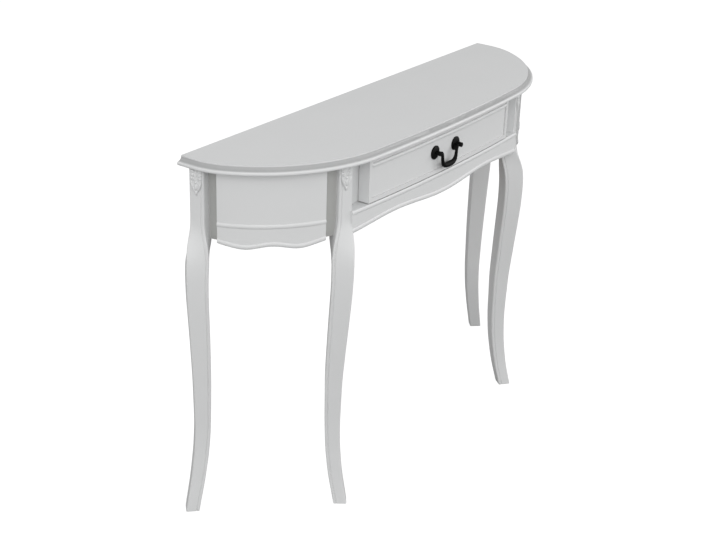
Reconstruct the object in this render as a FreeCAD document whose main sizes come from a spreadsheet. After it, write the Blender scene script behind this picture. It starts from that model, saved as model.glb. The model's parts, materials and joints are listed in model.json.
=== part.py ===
import FreeCAD, Part
import math
import os
import re
import Sketcher

# Demilune console table with one bowed drawer: a half-round top on four cabriole legs.
# Millimetres. X runs along the wall, -Y is the front, Z is up from the floor.
# The origin is on the floor, midway along the wall and midway from the wall to the front edge.

# Driving sizes of the table, in millimetres, with angles in degrees and shares as plain numbers
SIZES = {
    "top_width": 1084,
    "top_depth": 283,
    "table_height": 780,
    "top_thick": 18,
    "nose_thick": 8,
    "nose_round": 3.4,
    "cove_inset": 11.5,
    "cove_round": 8.5,
    "end_radius_share": 0.548,
    "side_radius_share": 1.138,
    "end_turn": 28,
    "side_turn": 86.6,
    "face_inset": 22,
    "front_leg_out_share": 0.5858,
    "front_leg_from_front": 56,
    "back_leg_from_end": 26,
    "back_leg_from_wall": 34.5,
    "knee_side": 46.5,
    "neck_side": 31,
    "front_shaft_turn": 52,
    "front_neck_turn": 21,
    "back_shaft_turn": 43,
    "back_neck_turn": 75,
    "leg_sweep": 32,
    "leg_edge_round": 2.5,
    "leg_bead": 6.5,
    "leg_groove": 2.8,
    "leg_groove_depth": 1.2,
    "carving_drop": 56,
    "carving_side": 26,
    "carving_thick": 2.5,
    "carving_tip_share": 0.1,
    "carving_swell_share": 0.8,
    "panel_thick": 12,
    "glue_line": 0.2,
    "apron_thick": 14,
    "apron_drop": 150,
    "apron_tenon_setback": 8,
    "panel_gap_back": 21,
    "panel_gap_front": 26,
    "panel_drop": 156.5,
    "skirt_wave": 3.5,
    "skirt_end_rise": 2,
    "skirt_end_share": 0.1,
    "bead_height": 9.5,
    "bead_proud": 1.8,
    "panel_bead_drop": 6,
    "rail_top_drop": 101,
    "rail_bottom_drop": 144.5,
    "rail_thick": 27,
    "rail_wave": 5,
    "rail_wave_length": 340,
    "rail_tenon_setback": 4,
    "rail_tenon_inset": 11,
    "rail_tenon_thick": 9,
    "rail_tenon_root": 16,
    "upper_rail_width": 30,
    "upper_rail_thick": 20,
    "upper_rail_behind": 2,
    "upper_rail_end": 4,
    "back_rail_thick": 18,
    "back_rail_height": 120,
    "back_rail_from_wall": 20,
    "back_rail_tenon": 5,
    "stile_thick": 18,
    "stile_tenon": 6,
    "stile_show": 45.5,
    "drawer_clear": 2,
    "drawer_lap": 10,
    "drawer_top_gap": 5,
    "drawer_thick": 34,
    "drawer_bead": 9,
    "drawer_bead_proud": 2.5,
    "box_side_thick": 12,
    "box_side_height": 72,
    "box_back_thick": 12,
    "box_back_gap": 16,
    "box_floor_thick": 6,
    "box_floor_lift": 6,
    "box_groove": 6,
    "slide_clear": 0.4,
    "runner_wide": 26,
    "runner_thick": 20,
    "guide_thick": 11.5,
    "guide_height": 26,
    "kicker_wide": 26,
    "screw_head": 4,
    "screw_shank": 2,
    "screw_bite": 11,
    "screw_clear": 0.1,
    "handle_spacing": 77,
    "handle_drop": 51,
    "rosette_radius": 15,
    "rosette_dome": 5,
    "rosette_rim": 1.4,
    "post_radius": 5,
    "post_length": 17,
    "pivot_out": 12,
    "bail_bar": 2.5,
    "bail_pin": 2,
    "pin_clear": 0.05,
    "pin_end_gap": 0.5,
    "bail_drop": 33,
    "bail_foot_half": 15,
    "bail_corner": 7,
    "bail_grip_radius": 3.8,
    "bail_grip_half": 11,
    "bail_grip_end": 2,
    "bail_shoulder": 5,
    "bail_shoulder_round": 3,
    "bail_shoulder_gap": 1.25,
    "handle_screw": 2,
    "handle_screw_head": 4.5,
    "handle_screw_head_thick": 3,
    "handle_screw_bite": 10,
    "handle_screw_gap": 1,
    "cut_over": 5,
}

# Sizes that follow from the driving sizes: the arcs of the plan and the main levels
DERIVED = {
    "half_width": "top_width / 2",
    "back_y": "top_depth / 2",
    "end_radius": "top_depth * end_radius_share",
    "side_radius": "top_depth * side_radius_share",
    "bow_radius": "(half_width - end_radius * (1 - cos(end_turn))"
                  " - side_radius * (cos(end_turn) - cos(side_turn))) / cos(side_turn)",
    "bow_centre_y": "bow_radius - back_y",
    "side_centre_out": "(bow_radius - side_radius) * cos(side_turn)",
    "side_centre_y": "bow_centre_y - (bow_radius - side_radius) * sin(side_turn)",
    "end_centre_out": "side_centre_out + (side_radius - end_radius) * cos(end_turn)",
    "end_centre_y": "side_centre_y - (side_radius - end_radius) * sin(end_turn)",
    "top_under": "table_height - top_thick",
    "front_leg_out": "half_width * front_leg_out_share",
    "front_leg_y": "front_leg_from_front - back_y",
    "back_leg_out": "half_width - back_leg_from_end",
    "back_leg_y": "back_y - back_leg_from_wall",
    "apron_bottom": "top_under - apron_drop",
    "panel_bottom": "top_under - panel_drop",
    "rail_top": "top_under - rail_top_drop",
    "rail_bottom": "top_under - rail_bottom_drop",
    "handle_level": "top_under - handle_drop",
    "front_neck_reach": "neck_side / 2 * (cos(front_neck_turn) + sin(front_neck_turn))",
    "back_neck_reach": "neck_side / 2 * (cos(back_neck_turn) + sin(back_neck_turn))",
    "opening_half": "front_leg_out - front_neck_reach - stile_show",
    "drawer_half": "opening_half + drawer_lap",
    "apron_face": "face_inset + panel_thick + glue_line",
    "drawer_back_y": "face_inset + drawer_thick - back_y",
    "drawer_bottom_z": "rail_top + drawer_clear",
    "drawer_height": "top_under - drawer_top_gap - drawer_bottom_z",
    "upper_rail_z": "top_under - upper_rail_thick",
    "stile_y": "drawer_back_y + drawer_clear / 2",
    "stile_back_y": "stile_y + stile_thick",
    "upper_rail_y": "drawer_back_y + upper_rail_behind",
    "runner_z": "box_z - slide_clear - runner_thick",
    "runner_in": "opening_half + guide_thick - drawer_clear - runner_wide",
    "guide_in": "box_half + slide_clear",
    "box_half": "opening_half - drawer_clear",
    "box_z": "drawer_bottom_z + drawer_clear",
    "box_floor_z": "box_z + box_floor_lift",
    "back_rail_front_y": "back_y - back_rail_from_wall - back_rail_thick",
    "apron_rear_y": "min(back_leg_y; back_rail_front_y - glue_line)",
    "box_back_y": "back_rail_front_y - box_back_gap",
    "pivot_y": "face_inset + drawer_bead_proud - back_y - pivot_out",
}

doc = FreeCAD.newDocument("demilune_table")
sheet = doc.addObject("Spreadsheet::Sheet", "Sizes")
for row, (alias, content) in enumerate({**SIZES, **DERIVED}.items(), 1):
    sheet.set(f"A{row}", alias)
    sheet.set(f"B{row}", str(content) if alias in SIZES else f"={content}")
    sheet.setAlias(f"B{row}", alias)
doc.recompute()

ALIASES = re.compile(r"\b(" + "|".join([*SIZES, *DERIVED]) + r")\b")
NODES = []
SIDES = (("left", -1), ("right", 1))
SIDE_STATIONS = 17
SIDE_LOBES = 2
FRONT_STATIONS = 17
CARVING_MIDDLE_SHARE = 0.5
TOUCH = 1e-4


def bound(text):
    """The expression with every size read from the sheet."""
    return ALIASES.sub(r"Sizes.\g<0>", text)


def value(text):
    """The present value of an expression in the sheet's sizes."""
    return float(sheet.evalExpression(bound(text)))


def vector(x, y, z=0.0):
    return FreeCAD.Vector(x, y, z)


def name_node(item, label):
    item.Label = label
    NODES.append(item)
    return item


def solid_node(label, shape):
    """A sub-part whose curved solid is worked out here from the sheet's sizes."""
    return name_node(solid(label, shape), label)


def solid(label, shape):
    item = doc.addObject("Part::Feature", label)
    item.Shape = shape
    return item


def board(label, corner, extent):
    """A square-edged board: its low corner and its three sizes are bound to the sheet."""
    box = doc.addObject("Part::Box", label)
    for name, text in zip(("Length", "Width", "Height"), extent):
        box.setExpression(name, bound(text))
    for axis, text in zip("xyz", corner):
        box.setExpression(f"Placement.Base.{axis}", bound(text))
    return box


def rod(label, base, direction, radius, length):
    """A round rod from its base point along a direction, bound to the sheet."""
    rod_item = doc.addObject("Part::Cylinder", label)
    rod_item.setExpression("Radius", bound(radius))
    rod_item.setExpression("Height", bound(length))
    rod_item.Placement.Rotation = FreeCAD.Rotation(vector(0, 0, 1), direction)
    for axis, text in zip("xyz", base):
        rod_item.setExpression(f"Placement.Base.{axis}", bound(text))
    return rod_item


def cut(label, base, tool):
    item = doc.addObject("Part::Cut", label)
    item.Base = base
    item.Tool = tool
    return item


def join(label, shapes, kind="Part::MultiFuse"):
    item = doc.addObject(kind, label)
    item.Shapes = shapes
    return item


def mirror_text(text, sign):
    """The same distance on the left (-1) or on the right (+1)."""
    return text if sign > 0 else f"-({text})"


def low_side(inner, outer, sign):
    """The lower X of a strip that runs from inner to outer, on the left or on the right."""
    return inner if sign > 0 else f"-({outer})"


def origin_plane(body, role):
    return next(item for item in body.Origin.OriginFeatures if item.Role == role)


def outline(body, name, corners, radii, level="0", role="XY_Plane"):
    """A closed, fully constrained sketch; an edge with a radius is an arc turning left."""
    sketch = body.newObject("Sketcher::SketchObject", name)
    sketch.AttachmentSupport = (origin_plane(body, role), [""])
    sketch.MapMode = "FlatFace"
    sketch.setExpression("AttachmentOffset.Base.z", bound(level))
    points = [vector(value(x), value(y)) for x, y in corners]
    ends = []
    for index, radius in enumerate(radii):
        start, end = points[index], points[(index + 1) % len(points)]
        if radius is None:
            sketch.addGeometry(Part.LineSegment(start, end))
            ends.append((1, 2))
            continue
        reach = value(radius)
        run = end - start
        left = vector(-run.y, run.x).normalize()
        side = 1 if reach > 0 else -1
        middle = (start + end) * 0.5
        centre = middle + left * side * math.sqrt(reach ** 2 - (run.Length / 2) ** 2)
        first, last = (start, end) if side > 0 else (end, start)
        angles = [math.atan2(p.y - centre.y, p.x - centre.x) for p in (first, last)]
        circle = Part.Circle(centre, vector(0, 0, 1), abs(reach))
        sketch.addGeometry(Part.ArcOfCircle(circle, *angles))
        ends.append((1, 2) if side > 0 else (2, 1))
        row = sketch.addConstraint(Sketcher.Constraint("Radius", index, abs(reach)))
        sketch.setExpression(f"Constraints[{row}]", f"abs({bound(radius)})")
    for index, (x, y) in enumerate(corners):
        before = index - 1 if index else len(corners) - 1
        meeting = (before, ends[before][1], index, ends[index][0])
        sketch.addConstraint(Sketcher.Constraint("Coincident", *meeting))
        for kind, text, spot in (("DistanceX", x, points[index].x), ("DistanceY", y, points[index].y)):
            row = sketch.addConstraint(Sketcher.Constraint(kind, -1, 1, index, ends[index][0], spot))
            sketch.setExpression(f"Constraints[{row}]", bound(text))
    return sketch


def feature(body, kind, name, sketch, length, **settings):
    """A pad or pocket of a sketch, with its length bound to the sheet."""
    item = body.newObject(f"PartDesign::{kind}", name)
    item.Profile = sketch
    item.setExpression("Length", bound(length))
    for key, setting in settings.items():
        setattr(item, key, setting)
    return item


def new_body(label):
    return name_node(doc.addObject("PartDesign::Body", label), label)


# Plan of the top: a straight back, short straight ends, two arcs at each end and one long front bow

def plan_corners(inset):
    """Corners and radii of the half-round outline, drawn in from the top's edge by an inset."""
    end = f"(end_radius - {inset})"
    side = f"(side_radius - {inset})"
    left = [
        (f"-(half_width - {inset})", "back_y"),
        (f"-(half_width - {inset})", "end_centre_y"),
        (f"-(end_centre_out + {end} * cos(end_turn))", f"end_centre_y - {end} * sin(end_turn)"),
        (f"-(side_centre_out + {side} * cos(side_turn))", f"side_centre_y - {side} * sin(side_turn)"),
    ]
    right = [(f"-({x})", y) for x, y in reversed(left)]
    return left + right, [None, end, side, f"(bow_radius - {inset})", side, end, None, None]


def plan_point(turn, inset, sign):
    """A point of the inset outline, where its outward normal has turned from sideways to the front."""
    end_turn, side_turn = value("end_turn"), value("side_turn")
    if turn <= end_turn:
        out, level, radius = value("end_centre_out"), value("end_centre_y"), value("end_radius")
    elif turn <= side_turn:
        out, level, radius = value("side_centre_out"), value("side_centre_y"), value("side_radius")
    else:
        out, level, radius = 0.0, value("bow_centre_y"), value("bow_radius")
    angle = math.radians(turn)
    reach = radius - inset
    return vector(sign * (out + reach * math.cos(angle)), level - reach * math.sin(angle))


def on_level(edge, level):
    box = edge.BoundBox
    return abs(box.ZMin - level) < TOUCH and abs(box.ZMax - level) < TOUCH


def follows_plan(edge, inset):
    """True for an edge of the half-round outline at this inset, apart from its straight back."""
    if isinstance(edge.Curve, Part.Circle):
        arcs = [value(f"{name} - ({inset})") for name in ("end_radius", "side_radius", "bow_radius")]
        return min(abs(edge.Curve.Radius - radius) for radius in arcs) < TOUCH
    middle = edge.CenterOfMass
    return abs(abs(middle.x) - value(f"half_width - ({inset})")) < TOUCH


def edge_names(shape, test):
    return [f"Edge{index}" for index, edge in enumerate(shape.Edges, 1) if test(edge)]


def circles(body, name, spots, radius, level="0", role="XY_Plane"):
    """A sketch of equal round holes, each centred on a spot."""
    sketch = body.newObject("Sketcher::SketchObject", name)
    sketch.AttachmentSupport = (origin_plane(body, role), [""])
    sketch.MapMode = "FlatFace"
    sketch.setExpression("AttachmentOffset.Base.z", bound(level))
    for index, (x, y) in enumerate(spots):
        sketch.addGeometry(Part.Circle(vector(value(x), value(y)), vector(0, 0, 1), value(radius)))
        rows = (("DistanceX", x, value(x)), ("DistanceY", y, value(y)))
        for kind, text, spot in rows:
            row = sketch.addConstraint(Sketcher.Constraint(kind, -1, 1, index, 3, spot))
            sketch.setExpression(f"Constraints[{row}]", bound(text))
        row = sketch.addConstraint(Sketcher.Constraint("Radius", index, value(radius)))
        sketch.setExpression(f"Constraints[{row}]", bound(radius))
    return sketch


def make_top():
    """Two layers of one board: a rounded nose below, and a cove sunk round the upper edge."""
    body = new_body("table_top")
    nose = outline(body, "nose_outline", *plan_corners("0"), "top_under")
    feature(body, "Pad", "nose_layer", nose, "nose_thick")
    upper = outline(body, "surface_outline", *plan_corners("cove_inset"), "top_under + nose_thick")
    layer = feature(body, "Pad", "surface_layer", upper, "top_thick - nose_thick")
    doc.recompute()
    ledge = value("top_under + nose_thick")
    cove = body.newObject("PartDesign::Fillet", "cove")
    cove_edges = edge_names(layer.Shape, lambda e: on_level(e, ledge) and follows_plan(e, "cove_inset"))
    cove.Base = (layer, cove_edges)
    cove.setExpression("Radius", bound("cove_round"))
    doc.recompute()
    rims = (value("top_under"), ledge)
    nose_edges = edge_names(cove.Shape, lambda e: follows_plan(e, "0") and any(on_level(e, z) for z in rims))
    rounded = body.newObject("PartDesign::Fillet", "nose_rounds")
    rounded.Base = (cove, nose_edges)
    rounded.setExpression("Radius", bound("nose_round"))
    doc.recompute()
    holes = circles(body, "screw_spots", SCREW_SPOTS, "screw_shank + screw_clear", "top_under")
    feature(body, "Pocket", "screw_holes", holes, "screw_bite", Reversed=True)


# Cabriole leg: a square section that swells, sweeps and turns from the foot to the post at the top.
# Stations stand at even heights, foot first. Each one gives the sweep of a front leg outwards and ahead and
# of a back leg outwards, as shares of leg_sweep, then the swell and the turn.
# The swell goes from 0, as at the post, to 1, as at the knee; the turn from 0 on the shaft to 1 at the post.
ARC_WEIGHT = math.sqrt(2) / 2
LEG_STATION_SHARES = (
    (0.560, 0.947, 1.350, -0.200, 0.000),
    (0.502, 0.664, 1.089, -0.143, 0.000),
    (0.466, 0.415, 0.824, -0.089, 0.000),
    (0.432, 0.239, 0.609, -0.029, 0.000),
    (0.394, 0.105, 0.424, 0.028, 0.000),
    (0.366, 0.029, 0.300, 0.076, 0.000),
    (0.345, -0.017, 0.219, 0.124, 0.000),
    (0.336, -0.018, 0.206, 0.184, 0.000),
    (0.331, -0.015, 0.201, 0.262, 0.000),
    (0.326, -0.006, 0.202, 0.337, 0.000),
    (0.321, 0.042, 0.223, 0.415, 0.000),
    (0.316, 0.110, 0.257, 0.493, 0.000),
    (0.310, 0.175, 0.294, 0.568, 0.000),
    (0.304, 0.248, 0.342, 0.640, 0.000),
    (0.296, 0.317, 0.392, 0.706, 0.000),
    (0.284, 0.384, 0.448, 0.757, 0.000),
    (0.264, 0.418, 0.466, 0.808, 0.003),
    (0.231, 0.411, 0.453, 0.865, 0.024),
    (0.179, 0.322, 0.347, 0.892, 0.124),
    (0.092, 0.157, 0.162, 0.640, 0.507),
    (0.017, 0.025, 0.025, 0.109, 0.934),
    (0.000, 0.000, 0.000, 0.000, 1.000),
    (0.000, 0.000, 0.000, 0.000, 1.000),
    (0.000, 0.000, 0.000, 0.000, 1.000),
    (0.000, 0.000, 0.000, 0.000, 1.000),
)


def leg_directions(place, turn_share):
    """The outward directions of a left leg's two show faces; the first one turns towards the panel."""
    shaft, neck = (value(f"{place}_{part}_turn") for part in ("shaft", "neck"))
    turn = math.radians(shaft + (neck - shaft) * turn_share)
    along = vector(math.cos(turn), -math.sin(turn))
    return vector(-math.sin(turn), -math.cos(turn)), along if place == "front" else -along


def leg_foot(place):
    """The spot on the floor under a left leg's post."""
    return vector(-value(f"{place}_leg_out"), value(f"{place}_leg_y"))


def leg_section(place, level, outward, ahead, side, turn_share):
    """Control points of a square with rounded corners, and with a groove that sets off a bead on the outer
    edge of each show face. Two points make a straight run and three make a bend."""
    first, second = leg_directions(place, turn_share)
    middle = leg_foot(place) + vector(-outward, -ahead, level)
    half = side / 2
    inner = half - value("leg_edge_round")
    bead = value("leg_bead") - half
    near, far = bead - value("leg_groove / 2"), bead + value("leg_groove / 2")
    sunk = half - value("leg_groove_depth") * (1 + 1 / ARC_WEIGHT)

    def spot(across, out):
        return middle + second * across + first * out
    return (
        (spot(inner, half), spot(far, half)),
        (spot(far, half), spot(bead, sunk), spot(near, half)),
        (spot(near, half), spot(-inner, half)),
        (spot(-inner, half), spot(-half, half), spot(-half, inner)),
        (spot(-half, inner), spot(-half, -inner)),
        (spot(-half, -inner), spot(-half, -half), spot(-inner, -half)),
        (spot(-inner, -half), spot(inner, -half)),
        (spot(inner, -half), spot(half, -half), spot(half, -inner)),
        (spot(half, -inner), spot(half, near)),
        (spot(half, near), spot(sunk, bead), spot(half, far)),
        (spot(half, far), spot(half, inner)),
        (spot(half, inner), spot(half, half), spot(inner, half)),
    )


def strip_surface(runs, levels):
    """The surface of one run of the section as it travels up the leg."""
    curves = []
    for path in zip(*runs):
        curve = Part.BSplineCurve()
        curve.interpolate(Points=list(path), Parameters=levels)
        curves.append(curve)
    order = len(curves)
    poles = [curve.getPoles() for curve in curves]
    weights = [[1] * len(poles[0]) for _ in curves]
    if order > 2:
        weights[1] = [ARC_WEIGHT] * len(poles[0])
    surface = Part.BSplineSurface()
    surface.buildFromPolesMultsKnots(poles, [order, order], curves[0].getMultiplicities(), [0, 1],
                                     curves[0].getKnots(), False, False, order - 1, curves[0].Degree, weights)
    return surface


def raw_leg(place):
    """A left leg before its mortises: strips that follow the stations, closed at the foot and the top."""
    rise = value("top_under") / (len(LEG_STATION_SHARES) - 1)
    sweep, post, knee = value("leg_sweep"), value("neck_side"), value("knee_side")
    levels, sections = [], []
    for step, (front_out, front_ahead, back_out, swell, turn) in enumerate(LEG_STATION_SHARES):
        outward, ahead = (front_out, front_ahead) if place == "front" else (back_out, 0)
        side = post + (knee - post) * swell
        levels.append(rise * step)
        sections.append(leg_section(place, rise * step, outward * sweep, ahead * sweep, side, turn))
    strips = [strip_surface(runs, levels) for runs in zip(*sections)]
    faces = [strip.toShape() for strip in strips]
    for level in (levels[0], levels[-1]):
        faces.append(Part.Face(Part.Wire([strip.vIso(level).toShape() for strip in strips])))
    leg = Part.Solid(Part.makeShell(faces))
    if leg.Volume < 0:
        leg.reverse()
    return leg


def knee_carving(place):
    """A leaf on the post's show face towards the panel, broad under the top and pointed below."""
    axis, along = leg_directions(place, 1)
    half = value("carving_side") / 2
    tip = half * value("carving_tip_share")
    swell = half * value("carving_swell_share")
    middle = leg_foot(place) + axis * value("neck_side / 2 + glue_line")

    def spot(out, drop_share):
        return middle + along * out + vector(0, 0, value("top_under") - value("carving_drop") * drop_share)
    edges = [
        Part.makeLine(spot(-tip, 1), spot(tip, 1)),
        Part.Arc(spot(tip, 1), spot(swell, CARVING_MIDDLE_SHARE), spot(half, 0)).toShape(),
        Part.makeLine(spot(half, 0), spot(-half, 0)),
        Part.Arc(spot(-half, 0), spot(-swell, CARVING_MIDDLE_SHARE), spot(-tip, 1)).toShape(),
    ]
    return Part.Face(Part.Wire(edges)).extrude(axis * value("carving_thick"))


# Curved boards: lofts through upright sections along the plan

def upright_section(edge, outward, low, high, thick, beads):
    """An upright section: a beaded face, its top, a plain back and its underside."""
    def spot(inset, z):
        return edge - outward * inset + vector(0, 0, z)
    face = value("face_inset")
    bead = value("bead_height")
    proud = face - value("bead_proud")
    edges = []
    here = low
    for start in (low, *beads):
        if start > here:
            edges.append(Part.makeLine(spot(face, here), spot(face, start)))
        crest, end = spot(proud, start + bead / 2), spot(face, start + bead)
        edges.append(Part.Arc(spot(face, start), crest, end).toShape())
        here = start + bead
    if high > here:
        edges.append(Part.makeLine(spot(face, here), spot(face, high)))
    back = face + thick
    corners = (spot(face, high), spot(back, high), spot(back, low), spot(face, low))
    edges += [Part.makeLine(a, b) for a, b in zip(corners, corners[1:])]
    return Part.Wire(edges)


def make_side_panel(side, sign):
    """The bowed side panel, beaded at drawer level and along its two-lobed lower edge."""
    face = value("face_inset")
    start = math.degrees(math.atan2(value("end_centre_y - back_leg_y + back_neck_reach"),
                                    value("back_leg_out - end_centre_out")))
    start += math.degrees(value("panel_gap_back / (end_radius - face_inset)"))
    end = math.degrees(math.atan2(value("side_centre_y - front_leg_y"),
                                  value("front_leg_out - side_centre_out + front_neck_reach")))
    end -= math.degrees(value("panel_gap_front / (side_radius - face_inset)"))
    change = value("end_turn")
    near = math.radians(change - start) * (value("end_radius") - face)
    whole = near + math.radians(end - change) * (value("side_radius") - face)
    sections = []
    for step in range(SIDE_STATIONS):
        share = step / (SIDE_STATIONS - 1)
        along = share * whole
        if along <= near:
            turn = start + math.degrees(along / (value("end_radius") - face))
        else:
            turn = change + math.degrees((along - near) / (value("side_radius") - face))
        angle = math.radians(turn)
        outward = vector(sign * math.cos(angle), -math.sin(angle))
        low = value("panel_bottom") + value("skirt_wave") * math.cos(SIDE_LOBES * 2 * math.pi * share)
        near_end = max(0.0, 1 - min(share, 1 - share) / value("skirt_end_share"))
        low += value("skirt_end_rise") * near_end ** 2
        level_bead = value("rail_top - panel_bead_drop - bead_height")
        sections.append(upright_section(plan_point(turn, 0.0, sign), outward, low, value("top_under"),
                                        value("panel_thick"), (level_bead,)))
    return solid_node(f"side_panel_{side}", Part.makeLoft(sections, True, False))


def front_rail_tenon():
    """The tenon at the rail's left end, square and set in from the rail's faces."""
    shoulder = value("front_leg_out - front_neck_reach")
    inset = value("face_inset + rail_tenon_inset")
    reach = value("bow_radius") - inset
    face_y = value("bow_centre_y") - math.sqrt(reach ** 2 - shoulder ** 2)
    low = value("rail_bottom + 2 * rail_wave")
    end = value("front_leg_out - rail_tenon_setback")
    length = end - shoulder + value("rail_tenon_root")
    return Part.makeBox(length, value("rail_tenon_thick"), value("rail_top - bead_height") - low,
                        vector(-end, face_y, low))


def make_front_rail(legs, tenons):
    """The bowed rail under the drawer, its shoulders scribed to the legs and its lower edge waved."""
    radius = value("bow_radius")
    half_turn = math.asin(value("front_leg_out - rail_tenon_setback") / radius)
    sections = []
    for step in range(FRONT_STATIONS):
        angle = half_turn * (2 * step / (FRONT_STATIONS - 1) - 1)
        outward = vector(math.sin(angle), -math.cos(angle))
        edge = vector(0, value("bow_centre_y")) + outward * radius
        wave = math.cos(2 * math.pi * edge.x / value("rail_wave_length"))
        low = value("rail_bottom") - value("rail_wave") * wave
        sections.append(upright_section(edge, outward, low, value("rail_top"), value("rail_thick"),
                                        (value("rail_top - bead_height"),)))
    between_legs = Part.makeLoft(sections, True, False).cut(legs)
    longest = max(between_legs.Solids, key=lambda piece: piece.Volume)
    return solid_node("front_rail", longest.fuse(tenons).Solids[0])


def make_side_apron(side, sign):
    """The curved apron behind the panel, tenoned into the back leg and into the front leg."""
    turn = (f"(atan2(side_centre_y - front_leg_y; front_leg_out - side_centre_out)"
            f" - atan(apron_tenon_setback / side_radius))")
    rows = []
    for inset in ("apron_face", "(apron_face + apron_thick)"):
        end, far = f"(end_radius - {inset})", f"(side_radius - {inset})"
        rows.append(([
            (f"end_centre_out + sqrt({end} ^ 2 - (end_centre_y - apron_rear_y) ^ 2)", "apron_rear_y"),
            (f"end_centre_out + {end} * cos(end_turn)", f"end_centre_y - {end} * sin(end_turn)"),
            (f"side_centre_out + {far} * cos({turn})", f"side_centre_y - {far} * sin({turn})"),
        ], [end, far]))
    (outer, outer_radii), (inner, inner_radii) = rows
    corners = [(mirror_text(x, sign), y) for x, y in outer + inner[::-1]]
    hand = "-" if sign > 0 else ""
    other = "" if sign > 0 else "-"
    radii = [f"{hand}{r}" for r in outer_radii] + [None]
    radii += [f"{other}{r}" for r in reversed(inner_radii)] + [None]
    body = new_body(f"side_apron_{side}")
    sketch = outline(body, f"apron_plan_{side}", corners, radii, "apron_bottom")
    feature(body, "Pad", f"apron_height_{side}", sketch, "top_under - apron_bottom")
    return body


def make_drawer_front():
    """A board bowed in front and flat behind, with a raised bead round its face."""
    body = new_body("drawer_front")
    def bow(inset, half):
        y = f"bow_centre_y - sqrt((bow_radius - {inset})^2 - ({half})^2)"
        return [(f"-({half})", y), (half, y)]
    plan = outline(body, "front_plan", bow("face_inset", "drawer_half")
                   + [("drawer_half", "drawer_back_y"), ("-drawer_half", "drawer_back_y")],
                   ["bow_radius - face_inset", None, None, None], "drawer_bottom_z")
    feature(body, "Pad", "front_board", plan, "drawer_height")
    field_half = "drawer_half - drawer_bead"
    ahead = "-(back_y + cut_over)"
    field = outline(body, "field_plan", bow("(face_inset + drawer_bead_proud)", field_half)[::-1]
                    + [(f"-({field_half})", ahead), (field_half, ahead)],
                    ["-(bow_radius - face_inset - drawer_bead_proud)", None, None, None],
                    "drawer_bottom_z + drawer_height - drawer_bead")
    feature(body, "Pocket", "sunk_field", field, "drawer_height - 2 * drawer_bead")
    doc.recompute()
    groove = outline(body, "floor_groove", [
        ("-(box_half - box_side_thick + box_groove)", "box_floor_z"),
        ("box_half - box_side_thick + box_groove", "box_floor_z"),
        ("box_half - box_side_thick + box_groove", "box_floor_z + box_floor_thick"),
        ("-(box_half - box_side_thick + box_groove)", "box_floor_z + box_floor_thick")],
        [None] * 4, "-(drawer_back_y)", "XZ_Plane")
    feature(body, "Pocket", "floor_seat", groove, "box_groove", Reversed=True)
    spots = [(mirror_text("handle_spacing / 2", sign), "handle_level") for sign in (-1, 1)]
    holes = circles(body, "handle_spots", spots, "handle_screw + screw_clear", "0", "XZ_Plane")
    feature(body, "Pocket", "handle_holes", holes, "top_depth", Midplane=True)
    return body


def make_box():
    """The drawer box: grooved sides, a back that stands on the floor panel, and the floor."""
    for side, sign in SIDES:
        plank = board(f"box_plank_{side}", (low_side("box_half - box_side_thick", "box_half", sign),
                                            "drawer_back_y", "box_z"),
                      ("box_side_thick", "box_back_y - drawer_back_y", "box_side_height"))
        inner = "box_half - box_side_thick"
        groove = board(f"box_groove_{side}", (low_side(f"{inner} - cut_over", f"{inner} + box_groove", sign),
                                              "drawer_back_y - cut_over", "box_floor_z"),
                       ("box_groove + cut_over", "box_back_y - drawer_back_y + 2 * cut_over",
                        "box_floor_thick"))
        name_node(cut(f"drawer_side_{side}", plank, groove), f"drawer_side_{side}")
    inside = "(box_half - box_side_thick)"
    name_node(board("drawer_back", (f"-{inside}", "box_back_y - box_back_thick",
                                    "box_floor_z + box_floor_thick"),
                    (f"2 * {inside}", "box_back_thick",
                     "box_side_height - box_floor_lift - box_floor_thick")), "drawer_back")
    name_node(board("drawer_floor", (f"-{inside} - box_groove", "drawer_back_y - box_groove", "box_floor_z"),
                    (f"2 * ({inside} + box_groove)", "box_back_y - drawer_back_y + box_groove",
                     "box_floor_thick")), "drawer_floor")


def make_carcase():
    """The straight rails, stiles, runners, guides and kickers inside the frame."""
    upper = board("upper_rail_plank", ("-(front_leg_out - upper_rail_end)", "upper_rail_y", "upper_rail_z"),
                  ("2 * (front_leg_out - upper_rail_end)", "upper_rail_width", "upper_rail_thick"))
    back = name_node(board("back_rail", ("-(back_leg_out - back_rail_tenon)", "back_rail_front_y",
                                         "top_under - back_rail_height"),
                           ("2 * (back_leg_out - back_rail_tenon)", "back_rail_thick", "back_rail_height")),
                     "back_rail")
    stiles = {}
    bores = screw_bores()
    name_node(cut("upper_front_rail", upper, bores["rail"]), "upper_front_rail")
    for side, sign in SIDES:
        outer = "front_leg_out - front_neck_reach + stile_tenon"
        stile = board(f"drawer_stile_{side}", (low_side("opening_half", outer, sign), "stile_y", "rail_top"),
                      (f"{outer} - opening_half", "stile_thick", "upper_rail_z - rail_top"))
        stiles[side] = name_node(stile, f"drawer_stile_{side}")
        name_node(board(f"drawer_runner_{side}", (low_side("runner_in", "runner_in + runner_wide", sign),
                                                  "stile_back_y", "runner_z"),
                        ("runner_wide", "back_rail_front_y - stile_back_y", "runner_thick")),
                  f"drawer_runner_{side}")
        name_node(board(f"drawer_guide_{side}", (low_side("guide_in", "guide_in + guide_thick", sign),
                                                 "stile_back_y", "runner_z + runner_thick"),
                        ("guide_thick", "back_rail_front_y - stile_back_y", "guide_height")),
                  f"drawer_guide_{side}")
        kicker = board(f"kicker_plank_{side}", (low_side("runner_in", "runner_in + kicker_wide", sign),
                                                "upper_rail_y + upper_rail_width", "upper_rail_z"),
                       ("kicker_wide", "back_rail_front_y - upper_rail_y - upper_rail_width",
                        "upper_rail_thick"))
        name_node(cut(f"drawer_kicker_{side}", kicker, bores[side]), f"drawer_kicker_{side}")
    return back, stiles, upper


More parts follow.
